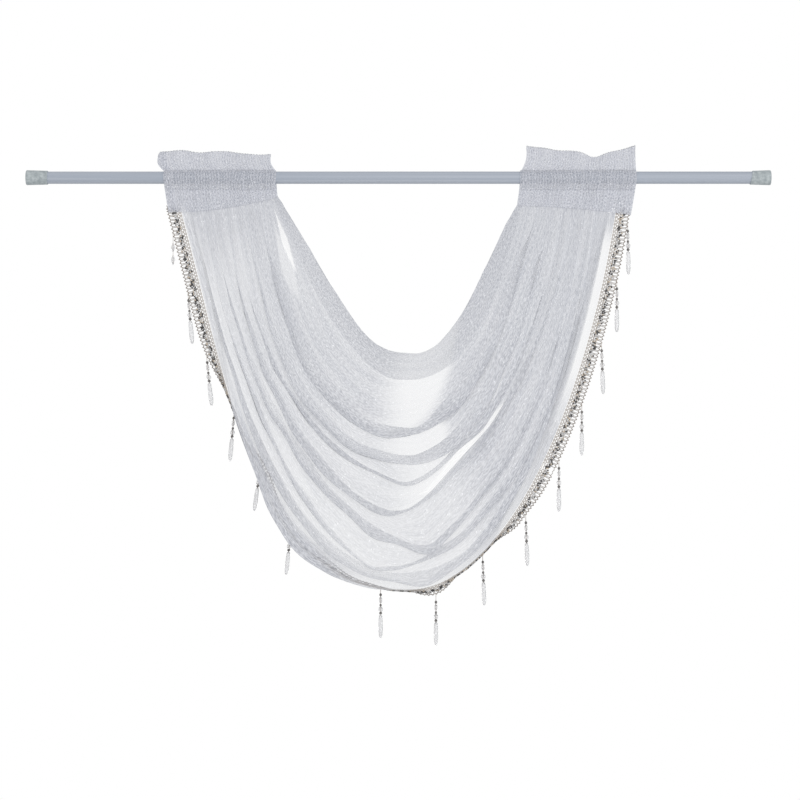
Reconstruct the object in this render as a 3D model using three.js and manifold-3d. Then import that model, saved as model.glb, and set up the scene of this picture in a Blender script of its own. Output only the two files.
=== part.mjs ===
// A sheer waterfall valance on a tension rod.
// Units are millimetres, +Z is up, +X runs along the rod and -Y faces the room.
// The origin is on the rod's axis, at the middle of its length.

import * as THREE from 'three';
import { mergeVertices } from 'three/addons/utils/BufferGeometryUtils.js';
import Module from 'manifold-3d';

// Gap kept between neighbouring pieces.
const GAP = 0.3;

// Rod.
const ROD_LENGTH = 968;
const TUBE_RADIUS = 8;
const TUBE_WALL = 1;
const TUBE_SIDES = 32;
const CAP_END_THICKNESS = 5;
const CAP_LIP_WALL = 0.7;
const CAP_FLARE = 0.7;
const CAP_CORNER = 1.4;
const CAP_CORNER_ROUND = 0.3;
const LEFT_CAP_LENGTH = 28;
const RIGHT_CAP_LENGTH = 25.5;
const RIGHT_CAP_SLANT = 1.6;
const SLANT_POWER = 4;

// Cloth. The swag's upper edge tips a little where it is sewn on, so its gap there is wider.
const SHEET_THICKNESS = 1.5;
const SEAM_GAP = 0.8;
const NECK_HEM_DEPTH = 8;
const HEADING_THICKNESS = 3;
const POCKET_WALL = 1.5;
const POCKET_DROP = 18;
const POCKET_SEAM = 3;
const RUFFLE_SEAM = 0.2;
const RUFFLE_DEPTH = 3.2;
const RUFFLE_WAVES = 3.5;
const HEADING_STEPS = 16;

// Middle of the hanging cloth, beside the rod's own middle.
const MIDDLE_X = 8;

// Each heading: its side edges at the ruffle's top, the rod and the lower seam, as distances from the
// cloth's middle, the lower seam's drop at its left, middle and right, and the ruffle's height at even
// steps from left to right.
const HEADINGS = [
  {
    name: 'heading_left',
    left: { top: -321, rod: -313, seam: -307 },
    right: { top: -174, rod: -167, seam: -165 },
    seamDrop: { left: 45.5, middle: 40, right: 25 },
    ruffle: [28, 33.5, 34, 32, 32.5, 34, 30, 29.5, 29.5],
  },
  {
    name: 'heading_right',
    left: { top: 158, rod: 150, seam: 146 },
    right: { top: 300, rod: 301, seam: 294 },
    seamDrop: { left: 36.5, middle: 40, right: 49 },
    ruffle: [40.5, 38, 34.5, 35, 32, 25.5, 32, 35.5, 40.5],
  },
];

// The swag's hanging lines, from the turned-back neck to the hem. Seam columns are places along the two
// headings, fall columns steer the line below its heading, sweep columns steer it towards its middle,
// and drops are below the rod's axis. All places are measured from the cloth's middle.
const LINE_COLUMNS = ['name', 'leftSeam', 'leftFall', 'leftFallDrop', 'leftSweep', 'leftSweepDrop',
  'middle', 'middleDrop', 'rightSweep', 'rightSweepDrop', 'rightFall', 'rightFallDrop', 'rightSeam',
  'fallDepth', 'middleDepth'];
const LINES = [
  ['neck hem', -170, -123, 149, -61, 264, 0, 264, 80, 264, 120, 172, 151, 7, -12],
  ['neck', -165, -88, 143, -58, 231, 0, 228, 66, 240, 95, 122, 146, -3, -26],
  ['fold 1', -185, -165, 262, -75, 352, 0, 332, 82, 338, 138, 205, 169, -10, -44],
  ['fold 2', -206, -175, 300, -95, 362, 0, 372, 62, 377, 135, 318, 190, -12, -50],
  ['fold 3', -219, -192, 322, -76, 372, 0, 402, 50, 376, 156, 336, 203, -8, -47],
  ['fold 4', -232, -205, 307, -85, 446, 0, 438, 55, 402, 178, 312, 216, -12, -47],
  ['fold 5', -249, -202, 372, -62, 474, 30, 489, 62, 462, 200, 350, 232, -11, -41],
  ['fold 6', -262, -208, 380, -75, 500, -35, 512, 75, 510, 206, 388, 246, -11, -33],
  ['fold 7', -273, -214, 384, -122, 518, 0, 531, 125, 530, 219, 302, 258, -9, -23],
  ['edge', -290, -221, 302, -196, 540, 0, 539, 134, 539, 240, 269, 274, 3, 2],
].map((row) => Object.fromEntries(row.map((value, column) => [LINE_COLUMNS[column], value])));

// Lines are rounded over this reach to both sides of their middles. The steps are those of the curves
// that they are walked along, and the rounding is that of a line's length.
const MIDDLE_REACH = 0.08;
const CURVE_STEPS = 60;
const TURN_STEPS = 12;
const ROUNDING = 1e-6;

// How far each fold's hidden tuck climbs behind its lip, on the left, at the middle and on the right,
// and how deep the tuck lies behind the lip.
const TUCK_COLUMNS = ['fold', 'left', 'middle', 'right', 'fallDeep', 'middleDeep'];
const TUCKS = [
  ['fold 1', 26, 6, 26, 22, 20],
  ['fold 2', 14, 13, 18, 20, 20],
  ['fold 3', 7, 4, 8, 18, 18],
  ['fold 4', 13, 6, 10, 20, 20],
  ['fold 5', 13, 10, 8, 20, 20],
  ['fold 6', 8, 5, 10, 18, 18],
  ['fold 7', 11, 18, 9, 18, 18],
].map((row) => Object.fromEntries(row.map((value, column) => [TUCK_COLUMNS[column], value])));

// How round the folds are, from 0 for pressed pleats to 0.5 for loose rolls.
const FOLD_ROUNDING = 0.12;

// Steps of the sheet's mesh along the folds, and across them between neighbouring lines.
const HALF_STEPS = 24;
const WIDE_STEPS = 5;
const LONG_STEPS = 3;
const SHORT_STEPS = 2;

// The hem rolls from facing the room (0 degrees) to facing down and back (90 degrees and more). Places
// run from -1 at the left heading, through 0 at the middle, to 1 at the right heading.
const HEM_WIDTH = 9;
const HEM_ROLL = [
  { place: -1, degrees: 0 },
  { place: -0.78, degrees: 0 },
  { place: -0.6, degrees: 95 },
  { place: -0.48, degrees: 128 },
  { place: -0.25, degrees: 128 },
  { place: -0.1, degrees: 100 },
  { place: 0, degrees: 80 },
  { place: 0.09, degrees: 66 },
  { place: 0.18, degrees: 85 },
  { place: 0.29, degrees: 84 },
  { place: 0.38, degrees: 40 },
  { place: 0.5, degrees: 0 },
  { place: 1, degrees: 0 },
];

// Beaded braid: its four lengths, each from one place on the hem to another, and its pendants.
const TRIM_WIDTH = 19;
const TRIM_GAP = 0.45;
const TRIM_THICKNESS = 2.4;
const LEFT_START = -0.9985;
const RIGHT_START = 0.9955;
const LEFT_JOIN = -0.58;
const RIGHT_JOIN = 0.5;
const TRIMS = [
  { name: 'trim_left', from: LEFT_START, to: LEFT_JOIN, steps: 11 },
  { name: 'trim_lower_left', from: LEFT_JOIN, to: 0, steps: 14 },
  { name: 'trim_lower_right', from: 0, to: RIGHT_JOIN, steps: 14 },
  { name: 'trim_right', from: RIGHT_JOIN, to: RIGHT_START, steps: 11 },
];

// Pendants hang from the braid's outer edge: how far along it each one hangs from an upper end, its lean in
// degrees, to the right, and how many of the first ones are short.
const PENDANT_RUNS = [
  {
    start: LEFT_START,
    distances: [27, 107, 190.5, 276.5, 344, 438.5],
    leans: [0, 5, 9, -2, -5, -6],
    short: 1,
  },
  {
    start: RIGHT_START,
    distances: [10.5, 87, 170, 254, 333, 418, 497.5, 574.5, 649],
    leans: [1, 0, 2, 0, 0, 2, 2, 0, 0],
    short: 0,
  },
];

// One pendant from its root down: thread, beads and the long clear drop. A short one has two beads only.
const PENDANT_ROOT = 1.5;
const PENDANT_SIDES = 4;
const PENDANT_PROFILE = [
  { drop: -PENDANT_ROOT, radius: 0.8 },
  { drop: 9, radius: 0.8 },
  { drop: 12, radius: 2.4 },
  { drop: 15, radius: 0.9 },
  { drop: 19, radius: 2.4 },
  { drop: 23, radius: 0.9 },
  { drop: 28, radius: 3 },
  { drop: 33, radius: 0.9 },
  { drop: 37, radius: 1.8 },
  { drop: 41, radius: 3.6 },
  { drop: 53, radius: 4.4 },
  { drop: 61, radius: 3.6 },
  { drop: 67, radius: 1.2 },
];
const SHORT_PROFILE = [
  { drop: -PENDANT_ROOT, radius: 0.8 },
  { drop: 13, radius: 0.8 },
  { drop: 19, radius: 2.2 },
  { drop: 25, radius: 0.9 },
  { drop: 29, radius: 0.9 },
  { drop: 35, radius: 2.2 },
  { drop: 42, radius: 0.8 },
];

const COLOURS = {
  rod: { color: 0xb0bac8, roughness: 0.4, metalness: 0.3 },
  cap: { color: 0xcdd6d4, roughness: 0.6, metalness: 0 },
  heading: { color: 0xd0d3da, roughness: 0.85, metalness: 0 },
  swag: { color: 0xe6e8ee, roughness: 0.85, metalness: 0 },
  trim: { color: 0xc8beb4, roughness: 0.5, metalness: 0.2 },
};

const wasm = await Module();
wasm.setup();

const group = new THREE.Group();

function addPiece(name, geometry, finish) {
  const mesh = new THREE.Mesh(geometry, new THREE.MeshStandardMaterial(COLOURS[finish]));
  mesh.name = name;
  group.add(mesh);
  return mesh;
}

function meshFrom(positions, indices) {
  const geometry = new THREE.BufferGeometry();
  geometry.setAttribute('position', new THREE.Float32BufferAttribute(positions, 3));
  geometry.setIndex(indices);
  geometry.computeVertexNormals();
  return geometry;
}

// A lathe turns about Y, so its pieces are laid over to turn about X.
function turnedAboutX(profile) {
  const points = profile.map(([radius, along]) => new THREE.Vector2(radius, along));
  return new THREE.LatheGeometry(points, TUBE_SIDES).rotateZ(-Math.PI / 2);
}

function buildTube() {
  const half = ROD_LENGTH / 2 - CAP_END_THICKNESS - GAP;
  const inner = TUBE_RADIUS - TUBE_WALL;
  const ring = [
    [TUBE_RADIUS, -half],
    [TUBE_RADIUS, half],
    [inner, half],
    [inner, -half],
    [TUBE_RADIUS, -half],
  ];
  addPiece('rod_tube', turnedAboutX(ring), 'rod');
}

// A rubber cup over one end of the tube, wider at its flat outer face. The slant tips its mouth.
function buildCap(name, side, length, slant) {
  const bore = TUBE_RADIUS + GAP;
  const mouth = bore + CAP_LIP_WALL;
  const outer = mouth + CAP_FLARE;
  const end = ROD_LENGTH / 2;
  const profile = [
    [0, end - CAP_END_THICKNESS],
    [bore, end - CAP_END_THICKNESS],
    [bore, end - length],
    [mouth, end - length],
    [outer, end - CAP_CORNER],
    [outer - CAP_CORNER_ROUND * CAP_CORNER, end - CAP_CORNER_ROUND * CAP_CORNER],
    [outer - CAP_CORNER, end],
    [0, end],
  ];
  const geometry = turnedAboutX(profile);
  const places = geometry.getAttribute('position');
  for (let i = 0; i < places.count; i += 1) {
    const reach = (end - places.getX(i)) / length;
    const share = THREE.MathUtils.clamp(reach, 0, 1) ** SLANT_POWER;
    places.setX(i, places.getX(i) + share * slant * (places.getZ(i) / mouth));
  }
  if (side < 0) {
    geometry.rotateZ(Math.PI);
  }
  geometry.computeVertexNormals();
  addPiece(name, geometry, 'cap');
}

// A smooth value through evenly spaced ones, for a share from 0 to 1.
function smoothAlong(values, share) {
  const points = values.map((value, i) => new THREE.Vector3(i, value, 0));
  return new THREE.CatmullRomCurve3(points, false, 'centripetal').getPoint(share).y;
}

function seamDropAt(heading, share) {
  const { left, middle, right } = heading.seamDrop;
  const bend = 4 * share * (1 - share);
  return (1 - share) * left + share * right + bend * (middle - (left + right) / 2);
}

// A heading's section, with the front to the left: a ruffle above, the rod's pocket and a doubled band
// below. Levels over RUFFLE_LEVEL or under BAND_LEVEL are stretched later to the heading's own edges.
const LOOP_RADIUS = TUBE_RADIUS + GAP + POCKET_WALL;
const LOOP_DEGREES = [78, 55, 30, 5, -20];
const POCKET_DEGREES = [90, 60, 32, 5, -20];
const RUFFLE_LEVEL = LOOP_RADIUS - RUFFLE_SEAM;
const BAND_LEVEL = -POCKET_DROP - POCKET_SEAM;
const RUFFLE_ROWS = 4;
const BAND_ROWS = 3;

function headingShape() {
  const half = HEADING_THICKNESS / 2;
  const side = [];
  for (let row = 0; row < RUFFLE_ROWS; row += 1) {
    side.push([half, RUFFLE_LEVEL + RUFFLE_ROWS - row]);
  }
  for (const degrees of LOOP_DEGREES) {
    const turn = THREE.MathUtils.degToRad(degrees);
    side.push([LOOP_RADIUS * Math.cos(turn), LOOP_RADIUS * Math.sin(turn)]);
  }
  for (let row = 0; row <= BAND_ROWS; row += 1) {
    side.push([half, BAND_LEVEL - row]);
  }
  const front = side.map(([depth, level]) => new THREE.Vector2(-depth, level));
  const back = side.map(([depth, level]) => new THREE.Vector2(depth, level)).reverse();
  const shape = new THREE.Shape([...front, ...back]);
  const bore = TUBE_RADIUS + GAP;
  const pocket = POCKET_DEGREES.map((degrees) => {
    const turn = THREE.MathUtils.degToRad(degrees);
    return new THREE.Vector2(bore * Math.cos(turn), bore * Math.sin(turn));
  });
  const low = new THREE.Vector2(0, -POCKET_DROP);
  const mirrored = pocket.slice(1).reverse().map((point) => new THREE.Vector2(-point.x, point.y));
  shape.holes.push(new THREE.Path([...pocket, low, ...mirrored]));
  return shape;
}

function edgeAt(edge, level) {
  if (level > 0) {
    const rise = level / (RUFFLE_LEVEL + RUFFLE_ROWS);
    return THREE.MathUtils.lerp(edge.rod, edge.top, Math.min(rise, 1));
  }
  const fall = level / (BAND_LEVEL - BAND_ROWS);
  return THREE.MathUtils.lerp(edge.rod, edge.seam, Math.min(fall, 1));
}

function buildHeading(heading) {
  const options = { depth: 1, steps: HEADING_STEPS, bevelEnabled: false };
  const geometry = new THREE.ExtrudeGeometry(headingShape(), options);
  const places = geometry.getAttribute('position');
  for (let i = 0; i < places.count; i += 1) {
    const level = places.getY(i);
    const share = places.getZ(i);
    let depth = places.getX(i);
    let height = level;
    const rise = (level - RUFFLE_LEVEL) / RUFFLE_ROWS;
    const fall = (BAND_LEVEL - level) / BAND_ROWS;
    if (rise > 0) {
      height = THREE.MathUtils.lerp(RUFFLE_LEVEL, smoothAlong(heading.ruffle, share), rise);
      depth += RUFFLE_DEPTH * rise * Math.sin(2 * Math.PI * RUFFLE_WAVES * share);
    } else if (fall > 0) {
      height = THREE.MathUtils.lerp(BAND_LEVEL, -seamDropAt(heading, share), fall);
    }
    const across = THREE.MathUtils.lerp(edgeAt(heading.left, level), edgeAt(heading.right, level), share);
    places.setXYZ(i, MIDDLE_X + across, depth, height);
  }
  geometry.computeVertexNormals();
  addPiece(heading.name, geometry, 'heading');
}

// The point of a hanging line's end, just below the lower seam of its heading.
function seamPoint(heading, across, depth) {
  const share = (across - heading.left.seam) / (heading.right.seam - heading.left.seam);
  const drop = seamDropAt(heading, share) + SEAM_GAP;
  return new THREE.Vector3(MIDDLE_X + across, depth, -drop);
}

// A hanging line is two curves that meet at its middle.
function hangingLine(row, seamDepth) {
  const middle = new THREE.Vector3(MIDDLE_X + row.middle, row.middleDepth, -row.middleDrop);
  const halves = {};
  for (const [index, side] of ['left', 'right'].entries()) {
    const start = seamPoint(HEADINGS[index], row[`${side}Seam`], seamDepth);
    const fall = new THREE.Vector3(MIDDLE_X + row[`${side}Fall`], row.fallDepth, -row[`${side}FallDrop`]);
    const sweep = middle.clone();
    sweep.setX(MIDDLE_X + row[`${side}Sweep`]);
    sweep.setZ(-row[`${side}SweepDrop`]);
    halves[side] = new THREE.CubicBezierCurve3(start, fall, sweep, middle);
  }
  return halves;
}

// Places run from -1 at the left heading to 1 at the right one.
function pointOn(line, place) {
  return place < 0 ? line.left.getPoint(1 + place) : line.right.getPoint(1 - place);
}

// A hanging line with its middle rounded, walked by its length, so that places on neighbouring lines lie
// side by side.
function walkedLine(line) {
  const points = [];
  const reach = 1 - MIDDLE_REACH;
  for (let step = 0; step < CURVE_STEPS; step += 1) {
    points.push(line.left.getPoint((reach * step) / CURVE_STEPS));
  }
  const before = line.left.getPoint(reach);
  const after = line.right.getPoint(reach);
  points.push(...new THREE.QuadraticBezierCurve3(before, line.left.v3, after).getPoints(TURN_STEPS));
  for (let step = CURVE_STEPS - 1; step >= 0; step -= 1) {
    points.push(line.right.getPoint((reach * step) / CURVE_STEPS));
  }
  const lengths = [0];
  points.slice(1).forEach((point, i) => lengths.push(lengths[i] + point.distanceTo(points[i])));
  return (place) => {
    const walked = ((place + 1) / 2) * lengths.at(-1);
    const next = Math.max(1, lengths.findIndex((length) => length >= walked - ROUNDING));
    const share = (walked - lengths[next - 1]) / (lengths[next] - lengths[next - 1]);
    return points[next - 1].clone().lerp(points[next], share);
  };
}

// The row of a fold's tuck: its lip's row, drawn in and up behind the lip. Its ends lie between the lip's
// own ends and the next line's, so the pleats open flat into the seam.
function tuckRow(lip, tuck, next) {
  const leftSlope = Math.SQRT1_2 * tuck.left;
  const rightSlope = Math.SQRT1_2 * tuck.right;
  const hem = next.name === 'edge' ? HEM_WIDTH : 0;
  return {
    leftSeam: (lip.leftSeam + next.leftSeam + hem) / 2,
    leftFall: lip.leftFall + tuck.left,
    leftFallDrop: lip.leftFallDrop - tuck.left,
    leftSweep: lip.leftSweep + leftSlope,
    leftSweepDrop: lip.leftSweepDrop - leftSlope,
    middle: lip.middle,
    middleDrop: lip.middleDrop - tuck.middle,
    rightSweep: lip.rightSweep - rightSlope,
    rightSweepDrop: lip.rightSweepDrop - rightSlope,
    rightFall: lip.rightFall - tuck.right,
    rightFallDrop: lip.rightFallDrop - tuck.right,
    rightSeam: (lip.rightSeam + next.rightSeam - hem) / 2,
    fallDepth: lip.fallDepth + tuck.fallDeep,
    middleDepth: lip.middleDepth + tuck.middleDeep,
  };
}

function rollAt(place) {
  const next = HEM_ROLL.findIndex((row) => row.place >= place);
  if (next <= 0) {
    return HEM_ROLL[0].degrees;
  }
  const before = HEM_ROLL[next - 1];
  const after = HEM_ROLL[next];
  const share = THREE.MathUtils.smoothstep(place, before.place, after.place);
  return THREE.MathUtils.lerp(before.degrees, after.degrees, share);
}

const edgeLine = hangingLine(LINES.at(-1), 0);

// The hem's frame at a place: the cloth's edge, the way along it, and the way out across the braid, which
// is level where the hem meets its heading.
const PLACE_STEP = 0.004;
const LEVEL_REACH = 0.1;
function hemFrame(place) {
  const point = pointOn(edgeLine, place);
  const before = pointOn(edgeLine, Math.max(place - PLACE_STEP, -1));
  const after = pointOn(edgeLine, Math.min(place + PLACE_STEP, 1));
  const along = after.sub(before).normalize();
  const slope = THREE.MathUtils.smoothstep(1 - Math.abs(place), 0, LEVEL_REACH);
  const outward = new THREE.Vector3(along.z, 0, -along.x * slope).normalize();
  const turn = THREE.MathUtils.degToRad(rollAt(place));
  const across = outward.multiplyScalar(Math.cos(turn)).add(new THREE.Vector3(0, Math.sin(turn), 0));
  return { point, along, across };
}

// All lines of the sheet in order, with the number of mesh steps to each from the one before.
function sheetLines() {
  const lines = [];
  LINES.forEach((row, index) => {
    const isNeckHem = row.name === 'neck hem';
    const isEdge = row.name === 'edge';
    if (isEdge) {
      lines.push({ steps: SHORT_STEPS, at: (place) => hemInside(place) });
      lines.push({ steps: 1, at: (place) => pointOn(edgeLine, place) });
      return;
    }
    const curve = walkedLine(hangingLine(row, isNeckHem ? NECK_HEM_DEPTH : 0));
    const steps = row.name === 'fold 1' ? WIDE_STEPS : LONG_STEPS;
    lines.push({ steps, at: curve });
    const tuck = TUCKS.find((entry) => entry.fold === row.name);
    if (!tuck) {
      return;
    }
    const tuckCurve = walkedLine(hangingLine(tuckRow(row, tuck, LINES[index + 1]), 0));
    lines.push({ steps: SHORT_STEPS, at: tuckCurve });
  });
  return lines;
}

function hemInside(place) {
  const { point, across } = hemFrame(place);
  return point.addScaledVector(across, -HEM_WIDTH);
}

// One section of the sheet across its folds, as points of a tight curve through the lines.
function sectionAt(lines, place) {
  const corners = lines.map((line) => line.at(place));
  const curve = new THREE.CatmullRomCurve3(corners, false, 'catmullrom', FOLD_ROUNDING);
  const spans = lines.length - 1;
  const points = [curve.getPoint(0)];
  for (let span = 0; span < spans; span += 1) {
    const { steps } = lines[span + 1];
    for (let step = 1; step <= steps; step += 1) {
      points.push(curve.getPoint((span + step / steps) / spans));
    }
  }
  return points;
}

// The mean direction of the steps before and after a point in a list, as seen along an axis if one is given.
function meanStep(points, index, axis) {
  const mean = new THREE.Vector3();
  for (const from of [index - 1, index]) {
    if (from >= 0 && from + 1 < points.length) {
      const step = points[from + 1].clone().sub(points[from]);
      mean.add((axis ? step.projectOnPlane(axis) : step).normalize());
    }
  }
  return mean.normalize();
}

// The normal at a grid point, halved evenly at sharp turns. The first and last rows are sewn on, so
// theirs stay level.
function gridNormal(rows, r, c) {
  const along = meanStep(rows.map((row) => row[c]), r);
  const normal = meanStep(rows[r], c, along).cross(along).negate();
  if (r === 0 || r === rows.length - 1) {
    normal.setZ(0);
  }
  return normal.normalize();
}

// A closed sheet from a grid of points: both faces stand off the middle surface along its normals.
function thickSheet(rows, thickness) {
  const columns = rows[0].length;
  const faces = [];
  for (let r = 0; r < rows.length - 1; r += 1) {
    for (let c = 0; c < columns - 1; c += 1) {
      const a = r * columns + c;
      const b = a + 1;
      const d = a + columns;
      const e = d + 1;
      faces.push(a, d, b, b, d, e);
    }
  }
  const count = rows.length * columns;
  const positions = [];
  for (const offset of [thickness / 2, -thickness / 2]) {
    rows.forEach((row, r) => row.forEach((point, c) => {
      positions.push(...point.clone().addScaledVector(gridNormal(rows, r, c), offset));
    }));
  }
  const indices = [...faces];
  for (let i = 0; i < faces.length; i += 3) {
    indices.push(count + faces[i], count + faces[i + 2], count + faces[i + 1]);
  }
  const rim = [];
  for (let c = 0; c < columns - 1; c += 1) {
    rim.push(c);
  }
  for (let r = 0; r < rows.length - 1; r += 1) {
    rim.push(r * columns + columns - 1);
  }
  for (let c = columns - 1; c > 0; c -= 1) {
    rim.push((rows.length - 1) * columns + c);
  }
  for (let r = rows.length - 1; r > 0; r -= 1) {
    rim.push(r * columns);
  }
  rim.forEach((from, i) => {
    const to = rim[(i + 1) % rim.length];
    indices.push(from, to, count + from, to, count + to, count + from);
  });
  return meshFrom(positions, indices);
}

function buildSwag() {
  const lines = sheetLines();
  const rows = [];
  for (let step = -HALF_STEPS; step <= HALF_STEPS; step += 1) {
    rows.push(sectionAt(lines, step / HALF_STEPS));
  }
  addPiece('swag', thickSheet(rows, SHEET_THICKNESS), 'swag');
}

// The four corners of the braid's section at a place on the hem.
function trimCorners(place, endShift) {
  const { point, along, across } = hemFrame(place);
  const normal = new THREE.Vector3().crossVectors(along, across).normalize();
  point.addScaledVector(along, endShift);
  const corner = (out, up) => point.clone().addScaledVector(across, out).addScaledVector(normal, up);
  const near = TRIM_GAP;
  const far = TRIM_GAP + TRIM_WIDTH;
  const half = TRIM_THICKNESS / 2;
  return [corner(near, -half), corner(far, -half), corner(far, half), corner(near, half)];
}

// A closed solid through a row of sections that have the same number of corners. Faces on opposite sides
// are split along the same diagonal, so a twisted strip keeps its thickness.
function loftSections(sections) {
  const sides = sections[0].length;
  const positions = [];
  const indices = [];
  sections.forEach((section) => section.forEach((point) => positions.push(point.x, point.y, point.z)));
  for (let s = 0; s < sections.length - 1; s += 1) {
    for (let i = 0; i < sides; i += 1) {
      const a = s * sides + i;
      const b = s * sides + ((i + 1) % sides);
      if (i < sides / 2) {
        indices.push(a, b, a + sides, b, b + sides, a + sides);
      } else {
        indices.push(a, b, b + sides, a, b + sides, a + sides);
      }
    }
  }
  const last = (sections.length - 1) * sides;
  for (let i = 1; i < sides - 1; i += 1) {
    indices.push(0, i + 1, i);
    indices.push(last, last + i, last + i + 1);
  }
  return meshFrom(positions, indices);
}

function trimStrip(trim) {
  const sections = [];
  for (let step = 0; step <= trim.steps; step += 1) {
    const place = THREE.MathUtils.lerp(trim.from, trim.to, step / trim.steps);
    const atStart = step === 0 ? GAP / 2 : 0;
    const atEnd = step === trim.steps ? -GAP / 2 : 0;
    sections.push(trimCorners(place, atStart + atEnd));
  }
  return loftSections(sections);
}

// The braid's outer edge, halfway through its thickness.
function trimOuterEdge(place) {
  const { point, across } = hemFrame(place);
  return point.addScaledVector(across, TRIM_GAP + TRIM_WIDTH);
}

// The hem place at a distance along the braid's outer edge from one of its upper ends.
const WALK_STEP = 0.002;
function placeAlongTrim(start, distance) {
  let place = start;
  let walked = 0;
  let here = trimOuterEdge(place);
  while (walked < distance) {
    place -= Math.sign(start) * WALK_STEP;
    const next = trimOuterEdge(place);
    walked += next.distanceTo(here);
    here = next;
  }
  return place;
}

function pendantPlaces() {
  return PENDANT_RUNS.flatMap((run) => run.leans.map((lean, index) => ({
    place: placeAlongTrim(run.start, run.distances[index]),
    lean,
    profile: index < run.short ? SHORT_PROFILE : PENDANT_PROFILE,
  })));
}

function pendantSolid({ place, lean, profile }) {
  const root = trimOuterEdge(place);
  const { across } = hemFrame(place);
  root.addScaledVector(across, -PENDANT_ROOT);
  const tilt = Math.tan(THREE.MathUtils.degToRad(lean));
  const sections = profile.map(({ drop, radius }) => {
    const centre = root.clone().add(new THREE.Vector3(tilt * Math.max(drop, 0), 0, -drop));
    return Array.from({ length: PENDANT_SIDES }, (_, side) => {
      const turn = (2 * Math.PI * side) / PENDANT_SIDES;
      return centre.clone().add(new THREE.Vector3(radius * Math.cos(turn), -radius * Math.sin(turn), 0));
    });
  });
  return loftSections(sections);
}

function toManifold(geometry) {
  const bare = geometry.clone();
  bare.deleteAttribute('normal');
  const merged = mergeVertices(bare);
  const vertProperties = Float32Array.from(merged.getAttribute('position').array);
  const triVerts = Uint32Array.from(merged.getIndex().array);
  return new wasm.Manifold(new wasm.Mesh({ numProp: 3, vertProperties, triVerts }));
}

function buildTrims() {
  const pendants = pendantPlaces();
  for (const trim of TRIMS) {
    let solid = toManifold(trimStrip(trim));
    for (const pendant of pendants) {
      if (pendant.place >= trim.from && pendant.place < trim.to) {
        solid = solid.add(toManifold(pendantSolid(pendant)));
      }
    }
    const { vertProperties, triVerts } = solid.getMesh();
    addPiece(trim.name, meshFrom(vertProperties, [...triVerts]), 'trim');
  }
}

buildTube();
buildCap('rod_cap_left', -1, LEFT_CAP_LENGTH, 0);
buildCap('rod_cap_right', 1, RIGHT_CAP_LENGTH, RIGHT_CAP_SLANT);
HEADINGS.forEach(buildHeading);
buildSwag();
buildTrims();

export default group;
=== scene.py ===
"""A sheer waterfall valance on a tension rod: its visible surfaces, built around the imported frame."""

import math

import bpy
import numpy as np
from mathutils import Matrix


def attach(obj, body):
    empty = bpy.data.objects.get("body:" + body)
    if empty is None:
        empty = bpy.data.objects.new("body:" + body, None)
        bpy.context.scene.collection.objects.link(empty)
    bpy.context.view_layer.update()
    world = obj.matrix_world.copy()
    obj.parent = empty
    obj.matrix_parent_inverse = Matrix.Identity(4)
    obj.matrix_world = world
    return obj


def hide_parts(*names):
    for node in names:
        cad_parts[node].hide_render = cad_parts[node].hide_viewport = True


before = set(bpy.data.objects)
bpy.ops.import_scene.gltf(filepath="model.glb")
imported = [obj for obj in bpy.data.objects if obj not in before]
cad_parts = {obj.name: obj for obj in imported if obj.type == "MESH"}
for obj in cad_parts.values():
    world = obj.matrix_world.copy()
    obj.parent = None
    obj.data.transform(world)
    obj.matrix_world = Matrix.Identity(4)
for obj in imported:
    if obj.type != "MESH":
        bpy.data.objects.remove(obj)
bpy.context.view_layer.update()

# Shared sizes, in millimetres as in the part's source. The seam gap is under 0 here, so that the swag's
# upper edge runs just inside the headings. Meshes are made in metres.
MM = 0.001
MIDDLE_X = 8
SEAM_GAP = -0.6
NECK_HEM_DEPTH = 8
HEM_WIDTH = 9
TRIM_GAP = 0.45
TRIM_WIDTH = 19

# Places run along the cloth from -1 at the left heading to 1 at the right one. These are the braid's two
# ends and two of the joins between its lengths; the third join is at 0.
LEFT_START = -0.9985
LEFT_JOIN = -0.58
RIGHT_JOIN = 0.5
RIGHT_START = 0.9955

# A full turn, the least length and square that are divided by, and white for a shader.
TURN = 2 * math.pi
LEAST_LENGTH = 1e-12
LEAST_SQUARE = 1e-6
WHITE = (1, 1, 1, 1)

# Each heading: its side edges at the ruffle's top, the rod and the lower seam, the lower seam's drop at its
# left, middle and right, the ruffle's height at even steps from left to right, the radius of its upper left
# corner, and the width of the doubled hem down its outer side.
HEADINGS = [
    {
        "name": "left",
        "left": {"top": -321, "rod": -313, "seam": -307},
        "right": {"top": -174, "rod": -167, "seam": -165},
        "seam_drop": {"left": 45.5, "middle": 40, "right": 25},
        "ruffle": [33, 33.5, 34, 32, 32.5, 34, 30, 29.5, 29.5],
        "corner": 6,
        "side_hem": 11,
    },
    {
        "name": "right",
        "left": {"top": 158, "rod": 150, "seam": 146},
        "right": {"top": 300, "rod": 301, "seam": 294},
        "seam_drop": {"left": 36.5, "middle": 40, "right": 49},
        "ruffle": [40.5, 38, 34.5, 35, 32, 25.5, 32, 35.5, 40.5],
        "corner": 0.5,
        "side_hem": 0,
    },
]

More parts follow.
